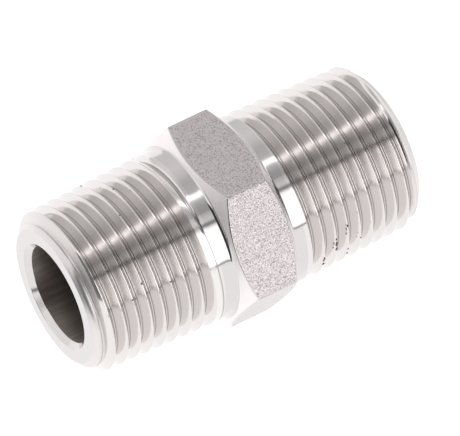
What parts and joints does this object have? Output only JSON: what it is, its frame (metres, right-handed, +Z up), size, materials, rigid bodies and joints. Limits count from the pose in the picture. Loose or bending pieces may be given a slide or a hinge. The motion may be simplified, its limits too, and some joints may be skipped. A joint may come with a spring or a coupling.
{
  "type": "hex nipple",
  "caption": "Straight hex nipple: a steel pipe fitting with tapered male threads on both ends, a wrench hexagon between them and a through-bore.",
  "frame": {"origin": "middle of the hexagon, on the bore's axis", "axes": "+X along the bore axis, from the near thread to the far thread; +Z up, square to a flat of the hexagon; +Y towards a corner of the hexagon"},
  "size_m": [0.0374, 0.022, 0.019],
  "materials": {
    "hex_nipple": "turned stainless steel, satin; the hexagon's flats are as-drawn bar"
  },
  "bodies": {
    "root": {"hex_nipple": "hex_nipple"}
  },
  "joints": []
}
